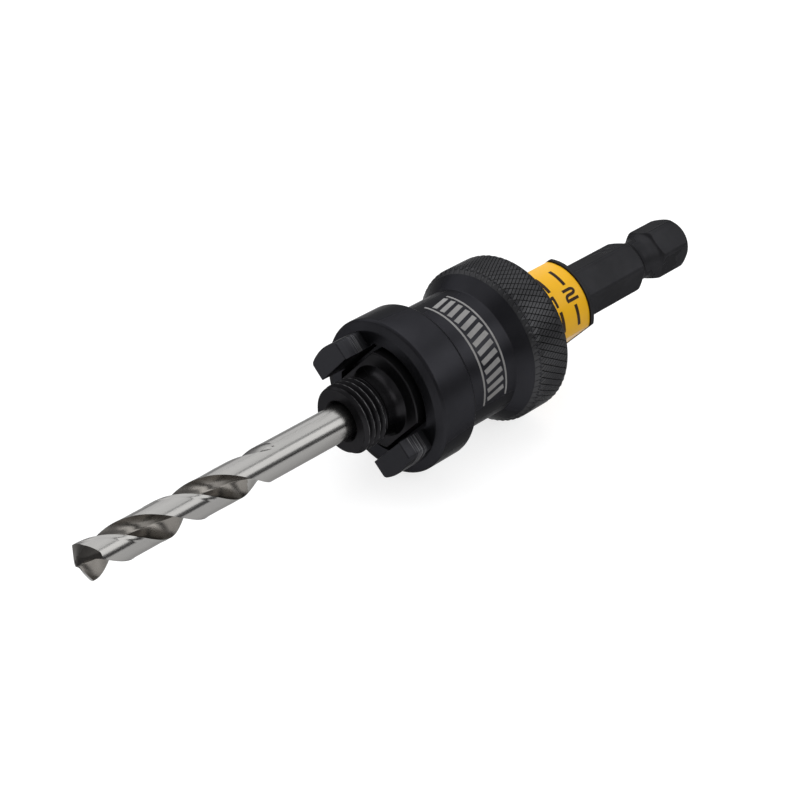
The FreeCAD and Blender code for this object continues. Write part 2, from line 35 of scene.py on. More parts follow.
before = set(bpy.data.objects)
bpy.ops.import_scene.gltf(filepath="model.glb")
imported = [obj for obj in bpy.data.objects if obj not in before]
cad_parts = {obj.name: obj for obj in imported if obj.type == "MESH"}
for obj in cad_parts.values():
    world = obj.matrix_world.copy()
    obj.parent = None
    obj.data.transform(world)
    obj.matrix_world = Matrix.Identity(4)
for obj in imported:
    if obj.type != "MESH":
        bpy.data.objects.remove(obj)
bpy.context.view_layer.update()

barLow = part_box("arbor_body")[0]
noseLength = 9.1
place = {
    "flangeX": barLow.x * 1000 + noseLength,
    "axisZ": 15.0,
    "keyClock": 49.0,  # turn of the flats and the dogs round the axis
    "hexClock": 58.0,
}
mm = 0.001
far = 99.0  # stands for no limit and for no step
sharpAngle = 32.0


def rowPoints(across, side, station):
    turn = math.radians(place["keyClock"])
    across, side, station = np.asarray(across), np.asarray(side), np.asarray(station)
    y = across * math.sin(turn) - side * math.cos(turn)
    z = across * math.cos(turn) + side * math.sin(turn) + place["axisZ"]
    x = station + place["flangeX"]
    return np.stack(np.broadcast_arrays(x, y, z), -1) * mm


def polarPoints(radius, angle, station):
    turn = np.radians(angle)
    return rowPoints(radius * np.cos(turn), radius * np.sin(turn), station)


# A profile's corners hold station, radius, distance of the flats, hexagon apothem, softness
# of the corner, and the longest step from there to the next one
def softenProfile(corners, closed):
    rows = [np.array(corner, float) for corner in corners]
    count = len(rows)
    soft = []
    for number, row in enumerate(rows):
        ends = not closed and number in (0, count - 1)
        if row[4] <= 0 or ends:
            soft.append(row)
            continue
        before, after = rows[number - 1], rows[(number + 1) % count]
        back = np.hypot(*(before - row)[:2])
        ahead = np.hypot(*(after - row)[:2])
        start = row + (before - row) * min(row[4] / back, 0.5)
        end = row + (after - row) * min(row[4] / ahead, 0.5)
        for t in (0.0, 0.2, 0.4, 0.6, 0.8, 1.0):
            point = (1 - t) ** 2 * start + 2 * t * (1 - t) * row + t ** 2 * end
            point[5] = row[5] if t == 1.0 else far
            soft.append(point)
    return soft


def stepProfile(corners, closed):
    soft = softenProfile(corners, closed)
    count = len(soft)
    rows = []
    for number in range(count if closed else count - 1):
        start, end = soft[number], soft[(number + 1) % count]
        length = np.hypot(*(end - start)[:2])
        pieces = max(1, math.ceil(length / start[5]))
        rows += [start + (end - start) * step / pieces for step in range(pieces)]
    if not closed:
        rows.append(soft[-1])
    return np.array(rows)[:, :4]


# The smaller of two values, with a soft change from one to the other
def softMin(first, second, width):
    near = np.clip(width - np.abs(first - second), 0, None) / width
    return np.minimum(first, second) - near ** 2 * width / 4


# Even angles round a piece, and a few more close to each of its corners
def ringAngles(count, corners):
    closeSteps, leastStep = (-0.8, -0.25, 0.0, 0.25, 0.8), 0.12
    angles = list(np.arange(count) * 360.0 / count)
    angles += [corner + step for corner in corners for step in closeSteps]
    angles = np.unique(np.round(np.mod(angles, 360.0), 4))
    keep = [angles[0]]
    for angle in angles[1:]:
        if angle - keep[-1] > leastStep:
            keep.append(angle)
    return np.array(keep)


# Angles of the four edges where two flats meet a round
def doubleD(radius, flat):
    half = math.degrees(math.acos(flat / radius))
    return [half, -half, 180 + half, 180 - half]


def addObject(name, data):
    made = bpy.data.objects.new(name, data)
    bpy.context.scene.collection.objects.link(made)
    return made


def meshFrom(name, vertices, faces, *materials):
    mesh = bpy.data.meshes.new(name)
    mesh.from_pydata([tuple(v) for v in vertices], [], faces)
    for material in materials:
        mesh.materials.append(material)
    return addObject(name, mesh)


def shadeFaces(made, smooth):
    made.data.polygons.foreach_set("use_smooth", np.full(len(made.data.polygons), smooth))


def tidyMesh(made, sharp=sharpAngle):
    weld = 1e-6
    work = bmesh.new()
    work.from_mesh(made.data)
    bmesh.ops.remove_doubles(work, verts=work.verts, dist=weld)
    bmesh.ops.dissolve_degenerate(work, edges=work.edges, dist=weld)
    bmesh.ops.recalc_face_normals(work, faces=work.faces)
    work.to_mesh(made.data)
    work.free()
    shadeFaces(made, True)
    made.data.set_sharp_from_angle(angle=math.radians(sharp))
    made.data.update()
    return made


# The mesh that an object has once its modifiers are applied
def appliedMesh(made):
    bpy.context.view_layer.update()
    done = made.evaluated_get(bpy.context.evaluated_depsgraph_get())
    return bpy.data.meshes.new_from_object(done)


def gridFaces(rows, columns, closedRows, closedColumns):
    faces = []
    for row in range(rows if closedRows else rows - 1):
        above = (row + 1) % rows
        for column in range(columns if closedColumns else columns - 1):
            beside = (column + 1) % columns
            faces.append((row * columns + column, row * columns + beside,
                          above * columns + beside, above * columns + column))
    return faces


# A turned piece whose radius is held inside milled flats and a hexagon
def turnedRadii(profile, angles, softness=0.1):
    station = profile[:, 0:1] + 0 * angles
    radius = profile[:, 1:2] + 0 * angles
    slope = np.abs(np.cos(np.radians(angles))) + 1e-6
    radius = softMin(radius, profile[:, 2:3] / slope, softness)
    sector = np.mod(angles - place["hexClock"], 60.0) - 30.0
    radius = softMin(radius, profile[:, 3:4] / np.cos(np.radians(sector)), softness)
    return station, np.maximum(radius, 0.0)


def turnedPiece(name, corners, angles, materials, closed=True, shape=None):
    profile = stepProfile(corners, closed)
    station, radius = turnedRadii(profile, angles[None, :])
    if shape:
        radius = shape(station, radius, angles[None, :])
    vertices = polarPoints(radius, angles[None, :] + 0 * radius, station).reshape(-1, 3)
    faces = gridFaces(len(profile), len(angles), closed, True)
    return tidyMesh(meshFrom(name, vertices, faces, *materials))


# Materials
def newMaterial(name, base, metallic, rough, **sockets):
    material = bpy.data.materials.new(name)
    material.use_nodes = True
    shader = material.node_tree.nodes["Principled BSDF"]
    shader.inputs["Base Color"].default_value = (*base, 1.0)
    shader.inputs["Metallic"].default_value = metallic
    shader.inputs["Roughness"].default_value = rough
    for socket, value in sockets.items():
        shader.inputs[socket.replace("_", " ")].default_value = value
    return material


# Links are keyed by socket; a setting is a socket's value or an option of the node
def addNode(tree, kind, links=None, **settings):
    node = tree.nodes.new(kind)
    for key, value in settings.items():
        if key in node.inputs:
            node.inputs[key].default_value = value
        else:
            setattr(node, key, value)
    for socket, source in (links or {}).items():
        tree.links.new(source, node.inputs[socket])
    return node


def mapRange(tree, value, fromLow, fromHigh, toLow=0.0, toHigh=1.0, kind="LINEAR"):
    node = addNode(tree, "ShaderNodeMapRange", {"Value": value}, interpolation_type=kind)
    limits = {"From Min": fromLow, "From Max": fromHigh, "To Min": toLow, "To Max": toHigh}
    for socket, limit in limits.items():
        node.inputs[socket].default_value = limit
    return node.outputs["Result"]


def calculate(tree, operation, *values):
    node = addNode(tree, "ShaderNodeMath", operation=operation)
    for socket, value in zip(node.inputs, values):
        if isinstance(value, (int, float)):
            socket.default_value = value
        else:
            tree.links.new(value, socket)
    return node.outputs[0]


# Wear: the shade drifts in clouds, and a fine grain varies the roughness and the relief
def addWear(material, base, worn, grain, roughLow, roughHigh, bump, stretch=(1, 1, 1)):
    tree = material.node_tree
    shader = tree.nodes["Principled BSDF"]
    coordinates = addNode(tree, "ShaderNodeTexCoord").outputs["Object"]
    mapping = addNode(tree, "ShaderNodeMapping", {"Vector": coordinates}, Scale=stretch)
    vector = {"Vector": mapping.outputs["Vector"]}
    cloud = addNode(tree, "ShaderNodeTexNoise", vector, Scale=grain * 0.12, Detail=3.0)
    fine = addNode(tree, "ShaderNodeTexNoise", vector, Scale=grain, Detail=4.0).outputs["Fac"]
    ramp = addNode(tree, "ShaderNodeValToRGB", {"Fac": cloud.outputs["Fac"]})
    for element, position, shade in zip(ramp.color_ramp.elements, (0.35, 0.7), (base, worn)):
        element.position = position
        element.color = (*shade, 1.0)
    tree.links.new(ramp.outputs["Color"], shader.inputs["Base Color"])
    rough = mapRange(tree, fine, 0.0, 1.0, roughLow, roughHigh)
    tree.links.new(rough, shader.inputs["Roughness"])
    relief = addNode(tree, "ShaderNodeBump", {"Height": fine}, Strength=bump, Distance=0.00002)
    tree.links.new(relief.outputs["Normal"], shader.inputs["Normal"])
    return material


# Blackened steel reflects weakly and keeps dark edges, so it is set as a dark metal
def blackSteel(name, shade, roughLow, roughHigh, grain=900.0, bump=0.25, stretch=(1, 1, 1)):
    material = newMaterial(name, shade, 0.8, roughLow, Specular_IOR_Level=0.15,
                           Specular_Tint=(0.3, 0.3, 0.3, 1.0))
    worn = tuple(1.3 * value for value in shade)
    return addWear(material, shade, worn, grain, roughLow, roughHigh, bump, stretch)


# Milled faces: fine lines across the arbor that catch the light, fading in and out
milled = {
    "shade": (0.15, 0.15, 0.155),
    "stations": (-3.0, 0.2),
    "fades": (0.4, 0.6),
    "grain": 6500.0,
    "share": (0.52, 0.68),
}


def addMilledLines(material):
    low, high = ((place["flangeX"] + station) * mm for station in milled["stations"])
    fadeLow, fadeHigh = (fade * mm for fade in milled["fades"])
    tree = material.node_tree
    shader = tree.nodes["Principled BSDF"]
    coordinates = addNode(tree, "ShaderNodeTexCoord").outputs["Object"]
    mapping = addNode(tree, "ShaderNodeMapping", {"Vector": coordinates}, Scale=(1.0, 0.02, 0.02))
    noise = addNode(tree, "ShaderNodeTexNoise", {"Vector": mapping.outputs["Vector"]},
                    Scale=milled["grain"], Detail=1.0)
    thin = mapRange(tree, noise.outputs["Fac"], *milled["share"])
    along = addNode(tree, "ShaderNodeSeparateXYZ", {"Vector": coordinates}).outputs["X"]
    fadeIn = mapRange(tree, along, low, low + fadeLow, kind="SMOOTHSTEP")
    fadeOut = mapRange(tree, along, high, high - fadeHigh, kind="SMOOTHSTEP")
    band = calculate(tree, "MULTIPLY", fadeIn, fadeOut)
    share = calculate(tree, "MULTIPLY", band, thin)
    under = shader.inputs["Base Color"].links[0].from_socket
    mix = addNode(tree, "ShaderNodeMix", {0: share, 6: under}, data_type="RGBA")
    mix.inputs[7].default_value = (*milled["shade"], 1.0)
    tree.links.new(mix.outputs[2], shader.inputs["Base Color"])
    return material


sleeveBlack = blackSteel("sleeveBlack", (0.021, 0.021, 0.024), 0.3, 0.42)
barBlack = blackSteel("barBlack", (0.019, 0.0185, 0.02), 0.28, 0.4)
shankBlack = blackSteel("shankBlack", (0.026, 0.026, 0.028), 0.42, 0.58)
knurlBlack = blackSteel("knurlBlack", (0.043, 0.043, 0.045), 0.3, 0.44)
# Lighter black steel for the thread crests: partly worn steel, partly a painted highlight along the
# crest lines
crestWearAndHighlight = blackSteel("crestWearAndHighlight", (0.07, 0.069, 0.071), 0.25, 0.4)
dogBlack = blackSteel("dogBlack", (0.026, 0.026, 0.029), 0.32, 0.46, 1500.0, 0.3, (6, 0.15, 0.15))
addMilledLines(dogBlack)
etchGrey = newMaterial("etchGrey", (0.22, 0.215, 0.21), 0.0, 0.6)
addWear(etchGrey, (0.2, 0.195, 0.19), (0.25, 0.245, 0.24), 2500.0, 0.5, 0.65, 0.3)
ringYellow = newMaterial("ringYellow", (0.87, 0.46, 0.008), 0.0, 0.36, Specular_IOR_Level=0.2)
addWear(ringYellow, (0.86, 0.45, 0.006), (0.88, 0.475, 0.01), 400.0, 0.34, 0.42, 0.05)
ringInk = newMaterial("ringInk", (0.022, 0.009, 0.003), 0.0, 0.5, Specular_IOR_Level=0.15)
addWear(ringInk, (0.022, 0.009, 0.003), (0.03, 0.013, 0.005), 900.0, 0.45, 0.55, 0.1)
dullRim = (0.5, 0.5, 0.5, 1.0)  # keeps the drill's edges from turning white
drillGround = newMaterial("drillGround", (0.29, 0.285, 0.276), 1.0, 0.2, Specular_Tint=dullRim)
addWear(drillGround, (0.265, 0.26, 0.252), (0.31, 0.305, 0.294), 2600.0, 0.15, 0.28, 0.05,
        (0.08, 1, 1))
fluteSteel = newMaterial("fluteSteel", (0.2, 0.187, 0.17), 1.0, 0.27, Specular_Tint=dullRim)
addWear(fluteSteel, (0.18, 0.169, 0.155), (0.24, 0.226, 0.209), 1500.0, 0.23, 0.33, 0.08,
        (1.5, 1, 1))
pointSteel = newMaterial("pointSteel", (0.1, 0.095, 0.09), 1.0, 0.32)
addWear(pointSteel, (0.09, 0.086, 0.081), (0.115, 0.11, 0.105), 2200.0, 0.26, 0.38, 0.25, (1, 3, 1))
# The point's secondary facets take a darker copy of the point steel: painted shade, since both
# facets are the same ground steel
pointPaintedShade = newMaterial("pointPaintedShade", (0.06, 0.056, 0.053), 1.0, 0.38)
addWear(pointPaintedShade, (0.053, 0.05, 0.047), (0.07, 0.066, 0.062), 2200.0, 0.33, 0.45, 0.25, (3, 1, 1))
springSteel = newMaterial("springSteel", (0.3, 0.3, 0.31), 1.0, 0.35)
addWear(springSteel, (0.28, 0.28, 0.29), (0.34, 0.34, 0.35), 1500.0, 0.3, 0.42, 0.2)
bronze = newMaterial("bronze", (0.42, 0.28, 0.13), 1.0, 0.45)
addWear(bronze, (0.4, 0.26, 0.12), (0.46, 0.32, 0.16), 2600.0, 0.4, 0.6, 0.5)
ballSteel = newMaterial("ballSteel", (0.66, 0.66, 0.68), 1.0, 0.12)
addWear(ballSteel, (0.64, 0.64, 0.66), (0.68, 0.68, 0.7), 900.0, 0.1, 0.16, 0.05)
print("materials made")

# Bar: bore, threaded nose, neck, flange, guide bar with its seats, hexagon shank
bar = {
    "bore": 3.215,
    "boreEnd": 10.9,
    "thread": 6.35,
    "threadPitch": 1.27,
    "threadDepth": 0.74,
    "threadStart": -9.3,
    "threadEnd": -4.25,
    "threadFlank": 0.455,  # shares of the pitch and of the depth of a full V
    "threadFloor": 0.86,
    "threadCore": 4.2,
    "crest": 6.31,
    "crestEnd": -3.9,
    "neck": 5.7,
    "neckStart": -3.6,
    "flange": 9.2,
    "flangeRear": 4.0,
    "guide": 8.9,
    "flat": 7.25,
    "clipFloor": 8.25,
    "clip": (26.25, 27.5),
    "ringSeat": 6.4,
    "ringEnds": (31.45, 46.7),
    "rear": 47.6,
    "holes": [  # radius, station, floor and side of the screw hole and the ball pockets
        (2.14, 6.0, 0.0, 1),
        (1.64, 14.6, 1.5, 1),
        (1.64, 14.6, 1.5, -1),
    ],
}
shank = {
    "round": 5.35,
    "apothem": 9.525 / 2,
    "finishFrom": 46.0,
    "groove": 70.6,
    "grooveFloor": 3.95,
    "end": 82.4,
}
bore, thread, neck, flange = bar["bore"], bar["thread"], bar["neck"], bar["flange"]
guideRound, flat, ringSeat = bar["guide"], bar["flat"], bar["ringSeat"]
shankRound, apothem, groove = shank["round"], shank["apothem"], shank["groove"]
barCorners = [
    (12.6, 0.0, far, far, 0, far),
    (bar["boreEnd"], bore, far, far, 0, far),
    (-8.45, bore, far, far, 0.05, far),
    (-noseLength, 3.87, far, far, 0.06, far),
    (-noseLength, 5.8, far, far, 0.12, 0.2),
    (-8.55, thread, far, far, 0.05, 0.06),
    (-4.2, thread, far, far, 0.15, 0.15),
    (-3.5, neck, far, far, 0.35, 0.5),
    (-1.0, neck, far, far, 0.9, 0.5),
    (0.0, 6.6, flat - 0.12, far, 0.1, 0.6),
    (0.0, 9.0, flat - 0.12, far, 0.05, far),
    (0.16, flange, flat, far, 0.05, far),
    (bar["flangeRear"], flange, flat, far, 0.05, far),
    (bar["flangeRear"], guideRound, flat, far, 0, far),
    (bar["clip"][0], guideRound, flat, far, 0, far),
    (bar["clip"][0], bar["clipFloor"], flat, far, 0, far),
    (bar["clip"][1], bar["clipFloor"], flat, far, 0, far),
    (bar["clip"][1], guideRound, flat, far, 0, far),
    (bar["ringEnds"][0], guideRound, flat, far, 0, far),
    (bar["ringEnds"][0], ringSeat, flat, far, 0, far),
    (bar["ringEnds"][1], ringSeat, flat, far, 0, far),
    (bar["ringEnds"][1], guideRound, flat, far, 0.05, far),
    (47.52, guideRound, flat, far, 0.1, far),
    (bar["rear"], 8.8, flat - 0.08, far, 0, 0.5),
    (bar["rear"], shankRound + 0.45, flat, far, 0, far),
    (47.62, shankRound + 0.4, far, apothem + 0.35, 0, 0.1),
    (48.05, shankRound, far, apothem, 0.25, 1.5),
    (groove - 3.35, shankRound, far, apothem, 0.35, 0.06),
    (groove - 2.8, 4.5, far, apothem, 0.3, 0.1),
    (groove - 1.4, shank["grooveFloor"], far, apothem, 0.6, 0.2),
    (groove + 1.4, shank["grooveFloor"], far, apothem, 0.6, 0.2),
    (groove + 2.8, 4.5, far, apothem, 0.3, 0.06),
    (groove + 3.35, shankRound, far, apothem, 0.35, 1.0),
    (shank["end"] - 1.4, shankRound, far, apothem, 0.5, 0.07),
    (shank["end"], 4.3, far, apothem, 0.25, 0.1),
    (shank["end"], 3.8, far, apothem, 0, far),
    (shank["end"], 0.0, far, far, 0, far),
]


def cutThread(station, radius, angles):
    phase = np.mod(station / bar["threadPitch"] - angles / 360.0, 1.0)
    floor = bar["threadFloor"]
    depth = np.clip(1.0 - np.abs(phase - 0.5) / bar["threadFlank"], 0, floor)
    run = np.clip((bar["threadEnd"] + 0.35 - station) / 0.5, 0, 1)  # the last turn runs out
    inside = (station > bar["threadStart"]) & (station < bar["neckStart"])
    inside &= radius > bar["threadCore"]
    cut = thread - bar["threadDepth"] / floor * depth * run
    return np.where(inside, softMin(radius, cut, 0.04), radius)


hexEdge = math.degrees(math.acos(apothem / shankRound))
hexCorners = [place["hexClock"] + 60.0 * number for number in range(6)]
hexEdges = [corner + side * (30.0 - hexEdge) for corner in hexCorners for side in (-1, 1)]
flatEdges = doubleD(flange, flat) + doubleD(guideRound, flat)
barAngles = ringAngles(216, flatEdges + hexCorners + hexEdges)
barFinishes = [barBlack, shankBlack, crestWearAndHighlight]
armBody = turnedPiece("arborBar", barCorners, barAngles, barFinishes, False, cutThread)


def boreAcross(made, holes):
    turn = math.radians(place["keyClock"])
    for number, (radius, station, floor, side) in enumerate(holes):
        depth = 0.012
        cutter = bmesh.new()
        bmesh.ops.create_cone(cutter, cap_ends=True, segments=48, radius1=radius * mm,
                              radius2=radius * mm, depth=depth)
        out = Vector((0, -side * math.cos(turn), side * math.sin(turn)))
        foot = Vector(((station + place["flangeX"]) * mm, 0, place["axisZ"] * mm))
        cutter.transform(Matrix.Translation(foot + out * (floor * mm + depth / 2))
                         @ out.to_track_quat("Z", "Y").to_matrix().to_4x4())
        mesh = bpy.data.meshes.new("cutter")
        cutter.to_mesh(mesh)
        cutter.free()
        tool = addObject("cutter", mesh)
        modifier = made.modifiers.new("hole", "BOOLEAN")
        modifier.operation = "DIFFERENCE"
        modifier.solver = "EXACT"
        modifier.object = tool
        drilled = appliedMesh(made)
        made.modifiers.clear()
        made.data = drilled
        bpy.data.objects.remove(tool)
        print("hole", number + 1, len(drilled.polygons))


boreAcross(armBody, bar["holes"])
armBody.data.set_sharp_from_angle(angle=math.radians(sharpAngle))
middles = np.array([polygon.center for polygon in armBody.data.polygons]) * 1000
stations = middles[:, 0] - place["flangeX"]
outwards = np.hypot(middles[:, 1], middles[:, 2] - place["axisZ"])
# Thread crests take the lighter crest material, partly worn steel and partly a painted highlight
# line
crest = (stations > bar["threadStart"]) & (stations < bar["crestEnd"]) & (outwards > bar["crest"])
kinds = np.where(crest, 2, np.where(stations > shank["finishFrom"], 1, 0))
armBody.data.polygons.foreach_set("material_index", kinds.astype(np.int32))
print("bar made", len(armBody.data.polygons))

# Sleeve: one turned piece with its mouth, guide bore, knurled grip and two dogs
grip = {
    "start": 24.8,
    "full": 25.8,
    "rear": 33.6,
    "base": 14.82,
    "lip": 14.17,
    "top": 15.0,
    "edge": 1.4,
    "around": 67,
    "angle": 30.0,
}
body = {
    "front": 1.0,
    "cup": 14.5,
    "cupRear": 8.95,
    "waist": 12.1,
    "mouth": 10.35,
    "mouthFlat": 8.4,
    "guide": 8.97,
    "guideFlat": 7.32,
    "guideEnds": (4.05, 17.2),
    "ballGrooves": (14.6, 10.1, 5.6),
    "rearBore": 10.85,
}
mouth, mouthFlat = body["mouth"], body["mouthFlat"]
guide, guideFlat, rearBore = body["guide"], body["guideFlat"], body["rearBore"]
sleeveCorners = [
    (body["front"], mouth, mouthFlat, far, 0.06, far),
    (body["front"], 12.6, far, far, 0.05, 0.5),
    (1.45, 14.15, far, far, 0.1, far),
    (1.85, body["cup"], far, far, 0.12, far),
    (body["cupRear"], body["cup"], far, far, 0.3, far),
    (9.65, 13.82, far, far, 0.3, far),
    (10.15, 12.3, far, far, 0.2, far),
    (10.4, body["waist"], far, far, 0.3, far),
    (22.3, body["waist"], far, far, 0.12, far),
    (grip["start"], grip["lip"], far, far, 0.05, far),
    (grip["start"] + 0.12, grip["lip"] - 0.2, far, far, 0, far),
    (grip["full"] - 0.1, grip["base"] - 0.05, far, far, 0, 1.5),
    (grip["rear"] - 1.4, grip["base"], far, far, 0, 1.5),
    (grip["rear"] - 0.42, grip["base"] - 0.35, far, far, 0.3, 1.5),
    (grip["rear"], 13.6, far, far, 0.15, far),
    (grip["rear"], 11.1, far, far, 0.1, far),
    (grip["rear"] - 0.25, rearBore, far, far, 0, far),
    (body["guideEnds"][1], rearBore, far, far, 0, far),
    (body["guideEnds"][1], guide, guideFlat, far, 0, far),
    *[corner for middle in body["ballGrooves"] for corner in (
        (middle + 1.0, guide, guideFlat, far, 0, far),
        (middle + 1.0, guide, far, far, 0, far),
        (middle, guide + 0.45, far, far, 0, far),
        (middle - 1.0, guide, far, far, 0, far),
        (middle - 1.0, guide, guideFlat, far, 0, far))],
    (body["guideEnds"][0], guide, guideFlat, far, 0.05, far),
    (body["guideEnds"][0], mouth, mouthFlat, far, 0.1, far),
]
sleeveAngles = ringAngles(200, doubleD(mouth, mouthFlat) + doubleD(guide, guideFlat))
sleeve = turnedPiece("turnedSleeve", sleeveCorners, sleeveAngles, [sleeveBlack])

dog = {
    "inner": mouthFlat,
    "outer": 12.6,
    "half": 4.6,
    "front": -4.6,
    "back": 1.6,
    "corner": 0.45,
    "cornerTurn": 2.4,
    "edge": 0.12,
    "chamfer": 0.16,
}


def dogOutline():
    outer, half, corner, edge = dog["outer"], dog["half"], dog["corner"], dog["edge"]
    turn = math.degrees(math.asin(half / outer))
    side = outer * math.cos(math.radians(turn))
    points = [(dog["inner"], -half), (side - corner, -half), (side - edge, edge - half)]
    for angle in np.linspace(dog["cornerTurn"] - turn, turn - dog["cornerTurn"], 14):
        spread = math.radians(angle)
        points.append((outer * math.cos(spread), outer * math.sin(spread)))
    return points + [(side - edge, half - edge), (side - corner, half), (dog["inner"], half)]


def dogMesh(name, mirrored):
    outline = np.array(dogOutline()) * (-1 if mirrored else 1)
    count = len(outline)
    inwards = outline.mean(0) - outline
    inwards /= np.linalg.norm(inwards, axis=1)[:, None]
    front, chamfer = dog["front"], dog["chamfer"]
    rows = [(front, chamfer), (front + chamfer, 0.0), (dog["back"], 0.0)]
    vertices = []
    for station, inset in rows:
        rim = outline + inwards * inset
        vertices += list(rowPoints(rim[:, 0], rim[:, 1], station))
    faces = gridFaces(len(rows), count, False, True)
    faces.append(tuple(range(count - 1, -1, -1)))
    faces.append(tuple(range((len(rows) - 1) * count, len(rows) * count)))
    return tidyMesh(meshFrom(name, vertices, faces, dogBlack), 25.0)


dogs = [dogMesh("dogUpper", False), dogMesh("dogLower", True)]
print("sleeve made", len(sleeve.data.polygons))


# Copies of one object round the arbor's axis, row after row, by Geometry Nodes
def aroundTree(name):
    tree = bpy.data.node_groups.new(name, "GeometryNodeTree")
    sockets = {
        "Geometry": "Geometry",
        "Cell": "Object",
        "Around": "Int",
        "Rows": "Int",
        "Angle Step": "Float",
        "First Angle": "Float",
        "Row Step": "Float",
        "First Row": "Float",
        "Stagger": "Float",
        "Axis Height": "Float",
        "Material": "Material",
    }
    for socket, kind in sockets.items():
        tree.interface.new_socket(socket, in_out="INPUT", socket_type="NodeSocket" + kind)
    tree.interface.new_socket("Geometry", in_out="OUTPUT", socket_type="NodeSocketGeometry")
    given = addNode(tree, "NodeGroupInput").outputs
    total = calculate(tree, "MULTIPLY", given["Around"], given["Rows"])
    points = addNode(tree, "GeometryNodeMeshLine", {"Count": total})
    index = addNode(tree, "GeometryNodeInputIndex").outputs[0]
    column = calculate(tree, "MODULO", index, given["Around"])
    turns = calculate(tree, "DIVIDE", calculate(tree, "ADD", index, 0.01), given["Around"])
    row = calculate(tree, "FLOOR", turns)
    odd = calculate(tree, "MODULO", row, 2.0)
    shift = calculate(tree, "MULTIPLY", odd, given["Stagger"])
    shifted = calculate(tree, "ADD", column, shift)
    angle = calculate(tree, "MULTIPLY", shifted, given["Angle Step"])
    angle = calculate(tree, "ADD", angle, given["First Angle"])
    station = calculate(tree, "MULTIPLY", row, given["Row Step"])
    station = calculate(tree, "ADD", station, given["First Row"])
    spot = addNode(tree, "ShaderNodeCombineXYZ", {"X": station, "Z": given["Axis Height"]})
    move = addNode(tree, "GeometryNodeSetPosition",
                   {"Geometry": points.outputs["Mesh"], "Position": spot.outputs[0]})
    turn = addNode(tree, "ShaderNodeCombineXYZ", {"X": angle})
    cell = addNode(tree, "GeometryNodeObjectInfo", {"Object": given["Cell"]})
    copies = addNode(tree, "GeometryNodeInstanceOnPoints", {
        "Points": move.outputs["Geometry"],
        "Instance": cell.outputs["Geometry"],
        "Rotation": turn.outputs[0],
    })
    real = addNode(tree, "GeometryNodeRealizeInstances", {"Geometry": copies.outputs["Instances"]})
    paint = addNode(tree, "GeometryNodeSetMaterial",
                    {"Geometry": real.outputs["Geometry"], "Material": given["Material"]})
    addNode(tree, "NodeGroupOutput", {"Geometry": paint.outputs["Geometry"]})
    return tree


around = aroundTree("copiesAround")


def copiesAround(name, cell, material, settings):
    holder = addObject(name + "Holder", bpy.data.meshes.new(name + "Holder"))
    modifier = holder.modifiers.new("copies", "NODES")
    modifier.node_group = around
    values = dict(settings, Cell=cell, Material=material)
    for item in around.interface.items_tree:
        if item.in_out == "INPUT" and item.name in values:
            modifier[item.identifier] = values[item.name]
    made = addObject(name, appliedMesh(holder))
    bpy.data.objects.remove(holder)
    bpy.data.objects.remove(cell)
    return made


# Knurl: grooves one way, and twice as many the other way, leave two bricks in each diamond
def knurlCell(pitch, length):
    steep = np.array((length / 2, -pitch / 2))
    level = np.array((length / 2, pitch / 2))
    top = grip["top"]
    # height, and the shares of the brick's length and width that are left there
    heights = ((grip["base"] - 0.04, 1.0, 1.0), (top - 0.07, 0.92, 0.88), (top, 0.86, 0.78))
    vertices, faces = [], []
    for part in (-0.25, 0.25):
        first = len(vertices)
        for height, longShare, shortShare in heights:
            for alongSteep, alongLevel in ((1, 1), (-1, 1), (-1, -1), (1, -1)):
                spot = level * (part + alongLevel * 0.25 * shortShare)
                spot = spot + steep * alongSteep * 0.5 * longShare
                angle = spot[1] / top
                vertices.append((spot[0] * mm, -height * math.sin(angle) * mm,
                                 height * math.cos(angle) * mm))
        for ring in (0, 4):
            for number in range(4):
                beside = (number + 1) % 4
                faces.append((first + ring + number, first + ring + beside,
                              first + ring + 4 + beside, first + ring + 4 + number))
        faces.append((first + 8, first + 9, first + 10, first + 11))
    return meshFrom("knurlCell", vertices, faces, knurlBlack)


knurlPitch = 2 * math.pi * grip["top"] / grip["around"]
knurlLength = knurlPitch / math.tan(math.radians(grip["angle"]))
knurlRows = math.ceil((grip["rear"] - grip["start"]) / (knurlLength / 2)) + 1
knurl = copiesAround("knurl", knurlCell(knurlPitch, knurlLength), knurlBlack, {
    "Around": grip["around"],
    "Rows": knurlRows,
    "Angle Step": 2 * math.pi / grip["around"],
    "First Angle": 0.0,
    "Row Step": knurlLength / 2 * mm,
    "First Row": (grip["start"] + place["flangeX"]) * mm,
    "Stagger": 0.5,
    "Axis Height": place["axisZ"] * mm,
})


def trimAlong(made, low, high):
    work = bmesh.new()
    work.from_mesh(made.data)
    for station, side in ((low, -1), (high, 1)):
        spot = ((station + place["flangeX"]) * mm, 0, 0)
        everything = work.verts[:] + work.edges[:] + work.faces[:]
        cut = bmesh.ops.bisect_plane(work, geom=everything, plane_co=spot, plane_no=(side, 0, 0),
                                     clear_outer=True, dist=1e-8)
        rim = [item for item in cut["geom_cut"] if isinstance(item, bmesh.types.BMEdge)]
        bmesh.ops.holes_fill(work, edges=rim, sides=0)
    work.to_mesh(made.data)
    work.free()


def holdInside(made, limit):
    count = len(made.data.vertices)
    points = np.empty(count * 3)
    made.data.vertices.foreach_get("co", points)
    points = points.reshape(-1, 3)
    side, up = points[:, 1] * 1000, points[:, 2] * 1000 - place["axisZ"]
    radius = np.hypot(side, up)
    held = np.minimum(radius, limit(points[:, 0] * 1000 - place["flangeX"]))
    points[:, 1] = side / radius * held * mm
    points[:, 2] = (up / radius * held + place["axisZ"]) * mm
    made.data.vertices.foreach_set("co", points.ravel())


